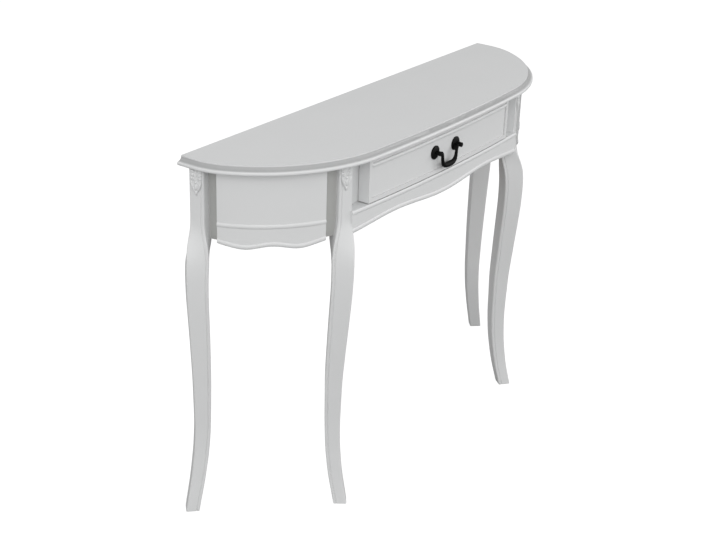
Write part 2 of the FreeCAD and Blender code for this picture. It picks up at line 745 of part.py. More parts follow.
# Screws that hold the top: two up through each kicker and two up through the upper front rail
KICKER_SPOTS = ("back_rail_front_y - kicker_wide", "upper_rail_y + upper_rail_width + kicker_wide")
SCREW_ROWS = [("left", "-(runner_in + kicker_wide / 2)", y) for y in KICKER_SPOTS]
SCREW_ROWS += [("right", "runner_in + kicker_wide / 2", y) for y in KICKER_SPOTS]
SCREW_ROWS += [("rail", mirror_text("opening_half / 2", sign), "upper_rail_y + upper_rail_width / 2")
               for sign in (-1, 1)]
SCREW_SPOTS = [(x, y) for holder, x, y in SCREW_ROWS]


def screw_bores():
    """Clearance holes for the top's screws, joined for each board that they pass through."""
    bores = {}
    for index, (holder, x, y) in enumerate(SCREW_ROWS):
        shank = rod(f"top_bore_{index}", (x, y, "upper_rail_z - cut_over"), vector(0, 0, 1),
                    "screw_shank + screw_clear", "upper_rail_thick + 2 * cut_over")
        bores.setdefault(holder, []).append(shank)
    return {holder: join(f"top_bores_{holder}", rods) for holder, rods in bores.items()}


def make_top_screws():
    """Round-headed wood screws, heads below the boards and points in the top."""
    screws = []
    for index, (holder, x, y) in enumerate(SCREW_ROWS):
        shank = rod(f"top_screw_shank_{index}", (x, y, "upper_rail_z"), vector(0, 0, 1),
                    "screw_shank", "upper_rail_thick + screw_bite - screw_clear")
        head = rod(f"top_screw_head_{index}", (x, y, "upper_rail_z - screw_shank"), vector(0, 0, 1),
                   "screw_head", "screw_shank")
        screws.append(join(f"top_screw_{index}", [shank, head]))
    group = doc.addObject("Part::Compound", "top_screws")
    group.Links = screws
    name_node(group, "top_screws")


def make_handle():
    """Two domed rosettes with posts, their screws, and the swinging bail between them."""
    seat_y = "face_inset + drawer_bead_proud - back_y"
    screws = []
    for side, sign in SIDES:
        body = new_body(f"handle_rosette_{side}")
        profile = outline(body, f"rosette_profile_{side}", [
            ("0", "0"), ("0", "-post_length"), ("post_radius", "-post_length"),
            ("post_radius", "-rosette_dome"), ("rosette_radius", "-rosette_rim"), ("rosette_radius", "0")],
            [None, None, None, "rosette_radius", None, None])
        turned = body.newObject("PartDesign::Revolution", f"rosette_turned_{side}")
        turned.Profile = profile
        turned.ReferenceAxis = (profile, ["V_Axis"])
        turned.Angle = 360
        doc.recompute()
        eye = circles(body, f"rosette_eye_{side}", [("-pivot_out", "0")], "bail_pin + pin_clear", "0",
                      "YZ_Plane")
        feature(body, "Pocket", f"rosette_bore_{side}", eye, "post_radius + cut_over", Reversed=sign < 0)
        doc.recompute()
        tap = circles(body, f"rosette_tap_{side}", [("0", "0")], "handle_screw + screw_clear", "0",
                      "XZ_Plane")
        feature(body, "Pocket", f"rosette_thread_{side}", tap, "handle_screw_bite - pin_clear", Reversed=True)
        for axis, text in zip("xyz", (mirror_text("handle_spacing / 2", sign), seat_y, "handle_level")):
            body.setExpression(f"Placement.Base.{axis}", bound(text))
        x = mirror_text("handle_spacing / 2", sign)
        length = f"drawer_back_y - ({seat_y}) + handle_screw_bite - handle_screw_gap"
        shank = rod(f"handle_shank_{side}", (x, "drawer_back_y", "handle_level"), vector(0, -1, 0),
                    "handle_screw", length)
        head = rod(f"handle_head_{side}", (x, "drawer_back_y", "handle_level"), vector(0, 1, 0),
                   "handle_screw_head", "handle_screw_head_thick")
        screws.append(join(f"handle_screw_{side}", [shank, head]))
    group = doc.addObject("Part::Compound", "handle_screws")
    group.Links = screws
    name_node(group, "handle_screws")
    solid_node("handle_bail", bail_shape())


def rounded_path(points, radii):
    """Straight runs joined by tangent arcs."""
    edges = []
    here = points[0]
    for before, corner, after, radius in zip(points, points[1:], points[2:], radii):
        inward, onward = (before - corner).normalize(), (after - corner).normalize()
        half = inward.getAngle(onward) / 2
        trim = radius / math.tan(half)
        centre = corner + (inward + onward).normalize() * (radius / math.sin(half))
        start, end = corner + inward * trim, corner + onward * trim
        middle = centre + (corner - centre).normalize() * radius
        edges += [Part.makeLine(here, start), Part.Arc(start, middle, end).toShape()]
        here = end
    edges.append(Part.makeLine(here, points[-1]))
    return Part.Wire(edges)


def bail_shape():
    """A drooping bar with pins turned outwards into the posts and a swell where the fingers pull."""
    pivot = vector(0, value("pivot_y"), value("handle_level"))
    inner = value("handle_spacing / 2 - post_radius")
    shoulder = inner - value("bail_shoulder")
    gap = value("bail_shoulder_gap")
    foot, drop = value("bail_foot_half"), value("bail_drop")
    corner = value("bail_corner")
    points = [pivot + vector(x, 0, z) for x, z in (
        (gap - inner, 0), (-shoulder, 0), (-foot, -drop), (foot, -drop),
        (shoulder, 0), (inner - gap, 0))]
    knuckle = value("bail_shoulder_round")
    path = rounded_path(points, (knuckle, corner, corner, knuckle))
    ring = Part.Wire(Part.makeCircle(value("bail_bar"), points[0], vector(1, 0, 0)))
    bar = path.makePipeShell([ring], True, False)
    pin_length = value("bail_shoulder_gap + post_radius - pin_end_gap")
    pins = [Part.makeCylinder(value("bail_pin"), pin_length, points[end],
                              vector(hand, 0, 0)) for end, hand in ((0, -1), (-1, 1))]
    half = value("bail_grip_half")
    low = pivot - vector(0, 0, drop)
    cones = [Part.makeCone(value("bail_grip_radius"), value("bail_grip_end"), half, low, vector(hand, 0, 0))
             for hand in (-1, 1)]
    return bar.fuse([*pins, *cones]).removeSplitter().Solids[0]


def mirrored(shape):
    """The right-hand copy of a left-hand solid."""
    return shape.mirror(vector(0, 0), vector(1, 0))


raw_legs = {place: raw_leg(place) for place in ("front", "back")}
rail_tenon = front_rail_tenon()

make_top()
aprons = {side: make_side_apron(side, sign) for side, sign in SIDES}
for side, sign in SIDES:
    make_side_panel(side, sign)
make_front_rail([raw_legs["front"], mirrored(raw_legs["front"])], [rail_tenon, mirrored(rail_tenon)])
back_rail, stiles, upper_rail = make_carcase()
make_top_screws()
make_drawer_front()
make_box()
make_handle()
doc.recompute()

# Legs last: the left ones are mortised by the rails that enter them, and the right ones mirror them
tenons = {
    "front": [aprons["left"].Shape, stiles["left"].Shape, upper_rail.Shape, rail_tenon],
    "back": [aprons["left"].Shape, back_rail.Shape],
}
for place, raw in raw_legs.items():
    leg = raw.cut(tenons[place]).Solids[0]
    carving = knee_carving(place)
    solid_node(f"leg_{place}_left", leg)
    solid_node(f"leg_{place}_right", mirrored(leg))
    solid_node(f"knee_carving_{place}_left", carving)
    solid_node(f"knee_carving_{place}_right", mirrored(carving))
doc.recompute()

failed = [item.Name for item in doc.Objects if {"Invalid", "Error"} & set(item.State)]
failed += [node.Label for node in NODES if node.Shape.isNull() or not node.Shape.isValid()]
if failed:
    raise RuntimeError("not built: " + ", ".join(failed))

os.makedirs("parts", exist_ok=True)
for node in NODES:
    node.Shape.exportStep(f"parts/{node.Label}.step")
    print(node.Label, len(node.Shape.Solids), round(node.Shape.Volume))
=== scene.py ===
# %% [markdown]
# # A white demilune table
#
# The table is a half-round console: a bowed top, four cabriole legs, a frieze drawer and a black
# bail handle. Its solids come ready made, at their real size, so this lesson is about what they
# lack: paint, bare wood, iron, carving, light and a camera.

# %% Load the solids
import json
import math
import bpy
from mathutils import Matrix, Vector


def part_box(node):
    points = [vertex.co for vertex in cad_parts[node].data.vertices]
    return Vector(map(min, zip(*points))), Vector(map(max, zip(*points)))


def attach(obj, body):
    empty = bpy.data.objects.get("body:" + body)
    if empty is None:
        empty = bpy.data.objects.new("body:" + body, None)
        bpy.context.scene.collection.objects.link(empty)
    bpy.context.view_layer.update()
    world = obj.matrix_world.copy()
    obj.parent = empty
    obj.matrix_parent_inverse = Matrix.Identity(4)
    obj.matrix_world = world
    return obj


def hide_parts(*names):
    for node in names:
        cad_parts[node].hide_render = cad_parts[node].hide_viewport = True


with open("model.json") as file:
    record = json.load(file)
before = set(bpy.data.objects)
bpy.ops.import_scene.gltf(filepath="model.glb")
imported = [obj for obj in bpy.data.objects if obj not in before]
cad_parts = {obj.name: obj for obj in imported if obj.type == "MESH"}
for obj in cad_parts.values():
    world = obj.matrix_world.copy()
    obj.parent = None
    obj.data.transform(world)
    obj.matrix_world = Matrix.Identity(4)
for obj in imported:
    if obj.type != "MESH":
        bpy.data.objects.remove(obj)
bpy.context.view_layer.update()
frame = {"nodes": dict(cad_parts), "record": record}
nodes = frame["nodes"]

# %% [markdown]
# ## Shared effects
#
# Uneven paint, painted shade in corners and grain come back on several finishes. Each is built once
# as a node group, with its own inputs, and then placed in every material that needs it. A group
# gives out only colours, masks and heights. The shader itself stays in the material, where it is
# easy to find.

# %% Helpers for node groups
def start_group(name, inputs, outputs):
    """An empty shader node group with named sockets, and its two end nodes."""
    group = bpy.data.node_groups.new(name, "ShaderNodeTree")
    for label, kind, start in inputs:
        socket = group.interface.new_socket(name=label, in_out="INPUT", socket_type=kind)
        socket.default_value = start
    for label, kind in outputs:
        group.interface.new_socket(name=label, in_out="OUTPUT", socket_type=kind)
    return group, group.nodes.new("NodeGroupInput"), group.nodes.new("NodeGroupOutput")


def add_node(tree, kind, **settings):
    """A node with its settings, and with values on the sockets that are named."""
    node = tree.nodes.new(kind)
    for key, setting in settings.items():
        if key == "sockets":
            for label, value in setting.items():
                node.inputs[label].default_value = value
        else:
            setattr(node, key, setting)
    return node


print("group helpers ready")

# %% [markdown]
# Sprayed paint is never quite even. A broad cloudy noise shifts its tone by a hair, and a fine
# noise gives the faint pebbled skin that softens a highlight. Both are needed: the first one
# breaks up large plain boards, and the second one makes the gloss look like lacquer.

# %% Paint skin
paint_skin, skin_in, skin_out = start_group(
    "paint_skin",
    [("Tone", "NodeSocketColor", (1, 1, 1, 1)), ("Shade", "NodeSocketColor", (0.9, 0.9, 0.9, 1)),
     ("Cloud Scale", "NodeSocketFloat", 6.0), ("Pebble Scale", "NodeSocketFloat", 900.0)],
    [("Color", "NodeSocketColor"), ("Cloud", "NodeSocketFloat"), ("Height", "NodeSocketFloat")])
place = add_node(paint_skin, "ShaderNodeTexCoord")
cloud = add_node(paint_skin, "ShaderNodeTexNoise", sockets={"Detail": 3.0, "Roughness": 0.5})
pebble = add_node(paint_skin, "ShaderNodeTexNoise", sockets={"Detail": 2.0, "Roughness": 0.45})
blend = add_node(paint_skin, "ShaderNodeMix", data_type="RGBA")
for noise, scale in ((cloud, "Cloud Scale"), (pebble, "Pebble Scale")):
    paint_skin.links.new(place.outputs["Object"], noise.inputs["Vector"])
    paint_skin.links.new(skin_in.outputs[scale], noise.inputs["Scale"])
paint_skin.links.new(cloud.outputs["Fac"], blend.inputs["Factor"])
paint_skin.links.new(skin_in.outputs["Tone"], blend.inputs["A"])
paint_skin.links.new(skin_in.outputs["Shade"], blend.inputs["B"])
paint_skin.links.new(blend.outputs["Result"], skin_out.inputs["Color"])
paint_skin.links.new(cloud.outputs["Fac"], skin_out.inputs["Cloud"])
paint_skin.links.new(pebble.outputs["Fac"], skin_out.inputs["Height"])
print("paint skin nodes", len(paint_skin.nodes))

# %% [markdown]
# This group paints shade into the tight spots, where light can't reach. It takes the paint's colour
# and a measure of how open each spot is, and lays a painted shade over the shut-in ones, such as
# grooves and the corners beside a bead. A dark line painted by hand would have to follow every
# edge. The painted shade finds the edges by itself.

# %% Painted corner shade
SHUT_IN, WIDE_OPEN = 0.2, 0.75
painted_corner_shade, shade_in, shade_out = start_group(
    "painted_corner_shade",
    [("Color", "NodeSocketColor", (1, 1, 1, 1)), ("Openness", "NodeSocketFloat", 1.0),
     ("ShadeTone", "NodeSocketColor", (0.58, 0.58, 0.575, 1))],
    [("Color", "NodeSocketColor")])
# painted shade: shut-in spots take the darker colour
clear = add_node(painted_corner_shade, "ShaderNodeMapRange",
                 sockets={"From Min": SHUT_IN, "From Max": WIDE_OPEN})
shade_mix = add_node(painted_corner_shade, "ShaderNodeMix", data_type="RGBA")
painted_corner_shade.links.new(shade_in.outputs["Openness"], clear.inputs["Value"])
painted_corner_shade.links.new(clear.outputs["Result"], shade_mix.inputs["Factor"])
painted_corner_shade.links.new(shade_in.outputs["ShadeTone"], shade_mix.inputs["A"])
painted_corner_shade.links.new(shade_in.outputs["Color"], shade_mix.inputs["B"])
painted_corner_shade.links.new(shade_mix.outputs["Result"], shade_out.inputs["Color"])
print("corner dust nodes", len(painted_corner_shade.nodes))

# %% [markdown]
# Bare boards show long fibres. A fine noise gives the fibres, and a bent band pattern gives the
# wider growth lines between them. Both read the same place, so a material that draws out that
# place along a board draws out fibres and lines together.

# %% Wood grain
wood_grain, grain_in, grain_out = start_group(
    "wood_grain",
    [("Vector", "NodeSocketVector", (0, 0, 0)), ("Bands", "NodeSocketFloat", 40.0),
     ("Early Wood", "NodeSocketColor", (0.7, 0.5, 0.3, 1)),
     ("Late Wood", "NodeSocketColor", (0.5, 0.33, 0.18, 1))],
    [("Color", "NodeSocketColor"), ("Height", "NodeSocketFloat")])
bands = add_node(wood_grain, "ShaderNodeTexWave", wave_type="BANDS", bands_direction="Z",
                 sockets={"Distortion": 7.0, "Detail": 2.0, "Detail Scale": 0.6})
fibres = add_node(wood_grain, "ShaderNodeTexNoise", sockets={"Scale": 240.0, "Detail": 3.0})
weave = add_node(wood_grain, "ShaderNodeMix", data_type="FLOAT", sockets={"Factor": 0.45})
tint = add_node(wood_grain, "ShaderNodeMix", data_type="RGBA")
for texture in (bands, fibres):
    wood_grain.links.new(grain_in.outputs["Vector"], texture.inputs["Vector"])
wood_grain.links.new(grain_in.outputs["Bands"], bands.inputs["Scale"])
wood_grain.links.new(bands.outputs["Fac"], weave.inputs["A"])
wood_grain.links.new(fibres.outputs["Fac"], weave.inputs["B"])
wood_grain.links.new(weave.outputs["Result"], tint.inputs["Factor"])
wood_grain.links.new(grain_in.outputs["Early Wood"], tint.inputs["A"])
wood_grain.links.new(grain_in.outputs["Late Wood"], tint.inputs["B"])
wood_grain.links.new(tint.outputs["Result"], grain_out.inputs["Color"])
wood_grain.links.new(weave.outputs["Result"], grain_out.inputs["Height"])
print("wood grain nodes", len(wood_grain.nodes))

# %% [markdown]
# ## Finishes
#
# Each finish is one material, and all of them start alike: a shader, and a bump that turns a
# height into the shader's normal. A bump is enough for marks that are far finer than any edge of
# the table. Anything larger is real shape.

# %% Helpers for materials
def start_material(name):
    """A material with an empty tree, its shader, and a bump that feeds the shader's normal."""
    material = bpy.data.materials.new(name)
    material.use_nodes = True
    tree = material.node_tree
    tree.nodes.clear()
    output = tree.nodes.new("ShaderNodeOutputMaterial")
    shader = tree.nodes.new("ShaderNodeBsdfPrincipled")
    bump = tree.nodes.new("ShaderNodeBump")
    tree.links.new(shader.outputs["BSDF"], output.inputs["Surface"])
    tree.links.new(bump.outputs["Normal"], shader.inputs["Normal"])
    return material, tree, shader, bump


def place_group(tree, group, **values):
    """A node group placed in a material, with its own values."""
    node = tree.nodes.new("ShaderNodeGroup")
    node.node_tree = group
    for label, value in values.items():
        node.inputs[label.replace("_", " ")].default_value = value
    return node


def give_finish(piece, finish):
    """The piece with this finish alone."""
    piece.data.materials.clear()
    piece.data.materials.append(finish)


print("material helpers ready")

# %% [markdown]
# The table wears a satin lacquer: pale, a little glossy, with a soft highlight. One plain colour
# would look like plastic, so the tone comes from the paint skin, and the corners get a painted
# shade. How open a spot is gets measured in the material itself, and the group takes it from there.
# The strips beside the side panels lie deeper and in shade, so they get a second, greyer paint from
# the same recipe, which is painted shade. The top gets a third of its own, because the next step
# changes it.

# %% Satin white paint
SHADE_REACH, SHADE_RAYS = 0.008, 8
SHINIEST, DULLEST = 0.38, 0.48
PAINT_TONES = {"tone": (0.73, 0.735, 0.735, 1), "shade": (0.70, 0.707, 0.71, 1)}
# painted shade for the deep strips beside the side panels
APRON_SHADE_TONES = {"tone": (0.46, 0.463, 0.45, 1), "shade": (0.43, 0.433, 0.42, 1)}


def satin_white(name, tone, shade):
    """Satin paint with cloudy gloss and painted shade in its tight corners."""
    material, tree, shader, bump = start_material(name)
    skin = place_group(tree, paint_skin, Tone=tone, Shade=shade,
                       Cloud_Scale=5.0, Pebble_Scale=700.0)
    corner_shade = place_group(tree, painted_corner_shade)
    # painted shade: the colour darkens where a spot is shut in
    openness = add_node(tree, "ShaderNodeAmbientOcclusion", samples=SHADE_RAYS,
                        sockets={"Distance": SHADE_REACH})
    gloss = add_node(tree, "ShaderNodeMapRange", sockets={"To Min": SHINIEST, "To Max": DULLEST})
    tree.links.new(skin.outputs["Color"], corner_shade.inputs["Color"])
    tree.links.new(openness.outputs["AO"], corner_shade.inputs["Openness"])
    tree.links.new(corner_shade.outputs["Color"], shader.inputs["Base Color"])
    tree.links.new(skin.outputs["Cloud"], gloss.inputs["Value"])
    tree.links.new(gloss.outputs["Result"], shader.inputs["Roughness"])
    tree.links.new(skin.outputs["Height"], bump.inputs["Height"])
    bump.inputs["Strength"].default_value = 0.05
    bump.inputs["Distance"].default_value = 0.0004
    return material


white_paint = satin_white("satin_white_paint", **PAINT_TONES)
top_paint = satin_white("satin_white_top", **PAINT_TONES)
# painted shade: a greyer copy of the white paint for the aprons' deep strips
apron_shade_paint = satin_white("white_paint_apron_shade", **APRON_SHADE_TONES)
print("finishes", white_paint.name, top_paint.name, apron_shade_paint.name)

# %% [markdown]
# A hollow moulding, the cove, runs round the edge of the top. It lies in shade, so its paint is
# made greyer than the flat: painted shade. The cove lies level, so height above the floor is all
# that is needed to find it: a ramp darkens the paint between two heights and leaves the rest as it
# was. That is simpler than a mask along a curved edge.

# %% Painted shade in the hollow of the top
HOLLOW_LOW, HOLLOW_HIGH = 0.7695, 0.7785
HOLLOW_SHADE = 0.58
HOLLOW_STARTS, HOLLOW_ENDS = 0.12, 0.8


def paint_shade_between(material, low, high):
    """Makes a painted finish greyer between two heights as painted shade, and gives back the stops
    of its ramp.
    """
    tree = material.node_tree
    colour = tree.nodes["Principled BSDF"].inputs["Base Color"]
    painted = colour.links[0].from_socket
    place = add_node(tree, "ShaderNodeTexCoord")
    axes = add_node(tree, "ShaderNodeSeparateXYZ")
    height = add_node(tree, "ShaderNodeMapRange", sockets={"From Min": low, "From Max": high})
    band = add_node(tree, "ShaderNodeValToRGB")
    # painted shade: the paint is multiplied by a grey band at the cove's height
    shaded = add_node(tree, "ShaderNodeMix", data_type="RGBA", blend_type="MULTIPLY",
                    sockets={"Factor": 1.0})
    band.color_ramp.elements[0].color = (1, 1, 1, 1)
    for at in (HOLLOW_STARTS, HOLLOW_ENDS):
        band.color_ramp.elements.new(at).color = (HOLLOW_SHADE, HOLLOW_SHADE, HOLLOW_SHADE, 1)
    tree.links.new(place.outputs["Object"], axes.inputs["Vector"])
    tree.links.new(axes.outputs["Z"], height.inputs["Value"])
    tree.links.new(height.outputs["Result"], band.inputs["Fac"])
    tree.links.new(painted, shaded.inputs["A"])
    tree.links.new(band.outputs["Color"], shaded.inputs["B"])
    tree.links.new(shaded.outputs["Result"], colour)
    return [(round(stop.position, 2), round(stop.color[0], 2)) for stop in band.color_ramp.elements]


# painted shade in the cove of the top
print("hollow stops", paint_shade_between(top_paint, HOLLOW_LOW, HOLLOW_HIGH))

# %% [markdown]
# The boards inside are left bare. Grain runs along a board, and some boards lie along the wall
# while others run from front to back, so the same finish is made twice with its pattern turned.
# The drawer's floor is a thin panel with closer bands.

# %% Bare wood
BOARD_TONES = {"early": (0.66, 0.46, 0.27, 1), "late": (0.5, 0.32, 0.17, 1)}
PANEL_TONES = {"early": (0.72, 0.55, 0.36, 1), "late": (0.6, 0.43, 0.26, 1)}


def bare_wood(name, axis_scales, band_scale, early, late):
    """Bare planed wood, with its grain drawn out along the axis of the smallest scale."""
    material, tree, shader, bump = start_material(name)
    place = add_node(tree, "ShaderNodeTexCoord")
    draw_out = add_node(tree, "ShaderNodeMapping", sockets={"Scale": axis_scales})
    grain = place_group(tree, wood_grain, Early_Wood=early, Late_Wood=late, Bands=band_scale)
    tree.links.new(place.outputs["Object"], draw_out.inputs["Vector"])
    tree.links.new(draw_out.outputs["Vector"], grain.inputs["Vector"])
    tree.links.new(grain.outputs["Color"], shader.inputs["Base Color"])
    tree.links.new(grain.outputs["Height"], bump.inputs["Height"])
    shader.inputs["Roughness"].default_value = 0.62
    bump.inputs["Strength"].default_value = 0.12
    bump.inputs["Distance"].default_value = 0.0006
    return material


wood_along_wall = bare_wood("bare_wood_along_wall", (0.06, 1, 1), 26.0, **BOARD_TONES)
wood_front_to_back = bare_wood("bare_wood_front_to_back", (1, 0.06, 1), 26.0, **BOARD_TONES)
thin_panel = bare_wood("thin_panel_wood", (0.08, 1, 1), 60.0, **PANEL_TONES)
print("finishes", wood_along_wall.name, wood_front_to_back.name, thin_panel.name)

# %% [markdown]
# The handle is black cast metal with a dull coat, so it is shaded as a dark paint with little
# shine and not as bare metal. The screws are plain steel. Casting leaves a slightly uneven skin,
# so the paint's skin group serves here too, with other values.

# %% Iron and steel
def metal(name, tone, shade, pebbles, metallic, roughness, shine, strength):
    """A metal with an uneven skin."""
    material, tree, shader, bump = start_material(name)
    skin = place_group(tree, paint_skin, Tone=tone, Shade=shade,
                       Cloud_Scale=60.0, Pebble_Scale=pebbles)
    tree.links.new(skin.outputs["Color"], shader.inputs["Base Color"])
    tree.links.new(skin.outputs["Height"], bump.inputs["Height"])
    shader.inputs["Metallic"].default_value = metallic
    shader.inputs["Roughness"].default_value = roughness
    shader.inputs["Specular IOR Level"].default_value = shine
    bump.inputs["Strength"].default_value = strength
    bump.inputs["Distance"].default_value = 0.0003
    return material


black_iron = metal("black_cast_iron", (0.002, 0.002, 0.002, 1), (0.005, 0.005, 0.005, 1),
                   pebbles=900.0, metallic=0.0, roughness=0.5, shine=0.1, strength=0.3)
screw_steel = metal("plain_steel", (0.55, 0.55, 0.57, 1), (0.42, 0.42, 0.44, 1),
                    pebbles=1500.0, metallic=1.0, roughness=0.36, shine=0.5, strength=0.1)
print("finishes", black_iron.name, screw_steel.name)

# %% [markdown]
# Every solid keeps its own shape and only takes a finish. The record says which slot each piece
# belongs to, so the finish follows from that. A few pieces differ: the boards that lie along the
# wall, the top with painted shade in its hollow, the rail over the drawer, which is painted, and
# the aprons, whose greyer paint is painted shade.

# %% Finish the solids
FINISH_OF_SLOT = {"white_paint": white_paint, "floor_panel": thin_panel, "black_iron": black_iron,
                  "screw_steel": screw_steel, "inner_wood": wood_front_to_back}
FINISH_OF_NODE = {"table_top": top_paint, "upper_front_rail": white_paint,
                  # the aprons take the paint with painted shade
                  "side_apron_left": apron_shade_paint, "side_apron_right": apron_shade_paint,
                  "back_rail": wood_along_wall, "drawer_back": wood_along_wall}
for row in frame["record"]["subparts"]:
    by_slot = FINISH_OF_SLOT[row["material_slot"]]
    give_finish(nodes[row["node"]], FINISH_OF_NODE.get(row["node"], by_slot))

# %% [markdown]
# ## Carved leaves
#
# Each leg carries a small carved leaf right under the top. It hangs point down: pairs of lobes lie
# like ribs at its upper end, a pearl sits in the middle, and two long lobes close into the point.
# A carver would cut it in the leg's own wood. Here one lobe is shaped by hand and copied, and the
# copies are melted together on a thin shield, which leaves the soft corners that paint gives.
#
# Shaping by hand means picking points and moving them. With no mouse the points are picked by
# their place, so that comes first.

# %% A helper that picks points
MM = 0.001


def pick_points(piece, wanted):
    """Edit mode, with only the points selected whose place passes the test."""
    bpy.ops.object.mode_set(mode="OBJECT")
    for parts in (piece.data.polygons, piece.data.edges):
        parts.foreach_set("select", [False] * len(parts))
    for point in piece.data.vertices:
        point.select = wanted(point.co)
    bpy.ops.object.mode_set(mode="EDIT")


bpy.context.tool_settings.mesh_select_mode = (True, False, False)
print("point picker ready")

# %% [markdown]
# A lobe is a plump drop with a vein down its middle. A ball is squeezed to its size, and its inner
# end is drawn in three times, each time from further along, which tapers it in a soft curve. Last,
# the points along the middle are pushed back to cut the vein.

# %% One lobe
LOBE_HALF_SIZES = (6.2 * MM, 2.8 * MM, 3.3 * MM)
LOBE_TAPER = ((0.0, 0.92), (-2.0, 0.86), (-4.0, 0.78))
VEIN_FROM, VEIN_HALF_WIDTH, VEIN_DEPTH = -0.8 * MM, 0.4 * MM, 1.0 * MM
bpy.ops.object.select_all(action="DESELECT")
bpy.ops.mesh.primitive_uv_sphere_add(segments=24, ring_count=14, radius=1)
lobe = bpy.context.object
lobe.name = "leaf_lobe"
bpy.ops.object.mode_set(mode="EDIT")
bpy.ops.mesh.select_all(action="SELECT")
bpy.ops.transform.resize(value=LOBE_HALF_SIZES)
for reach, narrower in LOBE_TAPER:
    pick_points(lobe, lambda at: at.x < reach * MM)
    bpy.ops.transform.resize(value=(1, 1, narrower))
pick_points(lobe, lambda at: at.y < VEIN_FROM and abs(at.z) < VEIN_HALF_WIDTH)
bpy.ops.transform.translate(value=(0, VEIN_DEPTH, 0))
bpy.ops.object.mode_set(mode="OBJECT")
print("lobe", [round(v / MM, 1) for v in lobe.dimensions], "mm")

# %% [markdown]
# The shield is the thin ground under the lobes. It starts as a grid, because each row of a grid
# can be drawn in on its own until the outline is right. Then it is pulled out to its thickness.

# %% The shield
SHIELD_HALF_WIDTHS = (11.8, 12.5, 12.8, 12.6, 11.8, 10.6, 9.0, 7.0, 4.8, 2.8, 0.9)
SHIELD_DROP, SHIELD_START, SHIELD_THICK = 55.0, 0.6, 1.3
GRID_SIZE, ROW_REACH = 2, 0.05
ROW_GAP = GRID_SIZE / (len(SHIELD_HALF_WIDTHS) - 1)
bpy.ops.object.select_all(action="DESELECT")
bpy.ops.mesh.primitive_grid_add(x_subdivisions=8, y_subdivisions=len(SHIELD_HALF_WIDTHS) - 1,
                                size=GRID_SIZE, rotation=(math.pi / 2, 0, 0))
shield = bpy.context.object
shield.name = "leaf_shield"
bpy.ops.object.transform_apply(location=False, rotation=True, scale=False)
for row, half in enumerate(SHIELD_HALF_WIDTHS):
    pick_points(shield, lambda at: abs(at.z - GRID_SIZE / 2 + row * ROW_GAP) < ROW_REACH)
    bpy.ops.transform.resize(value=(half * MM, 1, 1))
bpy.ops.mesh.select_all(action="SELECT")
bpy.ops.transform.resize(value=(1, 1, SHIELD_DROP / GRID_SIZE * MM))
bpy.ops.transform.translate(value=(0, 0, -(SHIELD_DROP / 2 + SHIELD_START) * MM))
bpy.ops.mesh.extrude_region_move(TRANSFORM_OT_translate={"value": (0, -SHIELD_THICK * MM, 0)})
bpy.ops.mesh.select_all(action="SELECT")
bpy.ops.mesh.normals_make_consistent(inside=False)
bpy.ops.object.mode_set(mode="OBJECT")
print("shield", [round(v / MM, 1) for v in shield.dimensions], "mm")

# %% [markdown]
# Now the lobes go on. A row of numbers places each: across and down from the top middle, the way
# it points, and how long and wide it is. A lobe on one side is turned over for the other side.

# %% Lobes on the shield
LOBES = ((6.7, -5.6, 10, 1.0, 1.0), (7.0, -13.2, 18, 1.0, 1.0), (6.6, -20.8, 26, 0.95, 0.95),
         (6.3, -38.6, 68, 2.1, 0.85), (0.0, -38.4, 90, 1.15, 1.05), (0.0, -50.2, 90, 0.7, 0.6))
LOBE_OUT = -0.9
carving = [shield]


def copy_of(piece):
    """A selected copy of a piece, with its own mesh."""
    bpy.ops.object.select_all(action="DESELECT")
    piece.select_set(True)
    bpy.context.view_layer.objects.active = piece
    bpy.ops.object.duplicate()
    return bpy.context.object


def place_lobe(across, down, points, long, wide):
    """A copy of the lobe, turned in the plane of the shield."""
    copy = copy_of(lobe)
    copy.location = (across * MM, LOBE_OUT * MM, down * MM)
    copy.rotation_euler = (0, -math.radians(points), 0)
    copy.scale = (long, 1, wide)
    carving.append(copy)


for across, down, points, long, wide in LOBES:
    place_lobe(across, down, points, long, wide)
    if across:
        place_lobe(-across, down, 180 - points, long, wide)
print("parts of the carving", len(carving))

# %% [markdown]
# The pearl sits where the pairs of lobes meet. A bare ball would look stuck on, so the part of it
# that stands out is pressed a little flatter, as a carver's gouge would leave it.

# %% Pearl on the shield
PEARL_RADIUS, PEARL_OUT, PEARL_DOWN = 2.9, -1.3, -28.2
PEARL_CROWN, PEARL_PRESS = -1.6, (0.9, 0.8, 0.9)
bpy.ops.object.select_all(action="DESELECT")
bpy.ops.mesh.primitive_uv_sphere_add(segments=20, ring_count=12, radius=PEARL_RADIUS * MM,
                                     location=(0, PEARL_OUT * MM, PEARL_DOWN * MM))
pearl = bpy.context.object
bpy.ops.object.mode_set(mode="EDIT")
pick_points(pearl, lambda at: at.y < PEARL_CROWN * MM)
bpy.ops.transform.resize(value=PEARL_PRESS)
bpy.ops.object.mode_set(mode="OBJECT")
carving.append(pearl)
print("parts of the carving", len(carving))

# %% [markdown]
# The parts become one skin. They are joined and cut flat at the back, where the leaf lies on the
# leg. A fine voxel remesh then melts them together, and a little smoothing softens the edges.

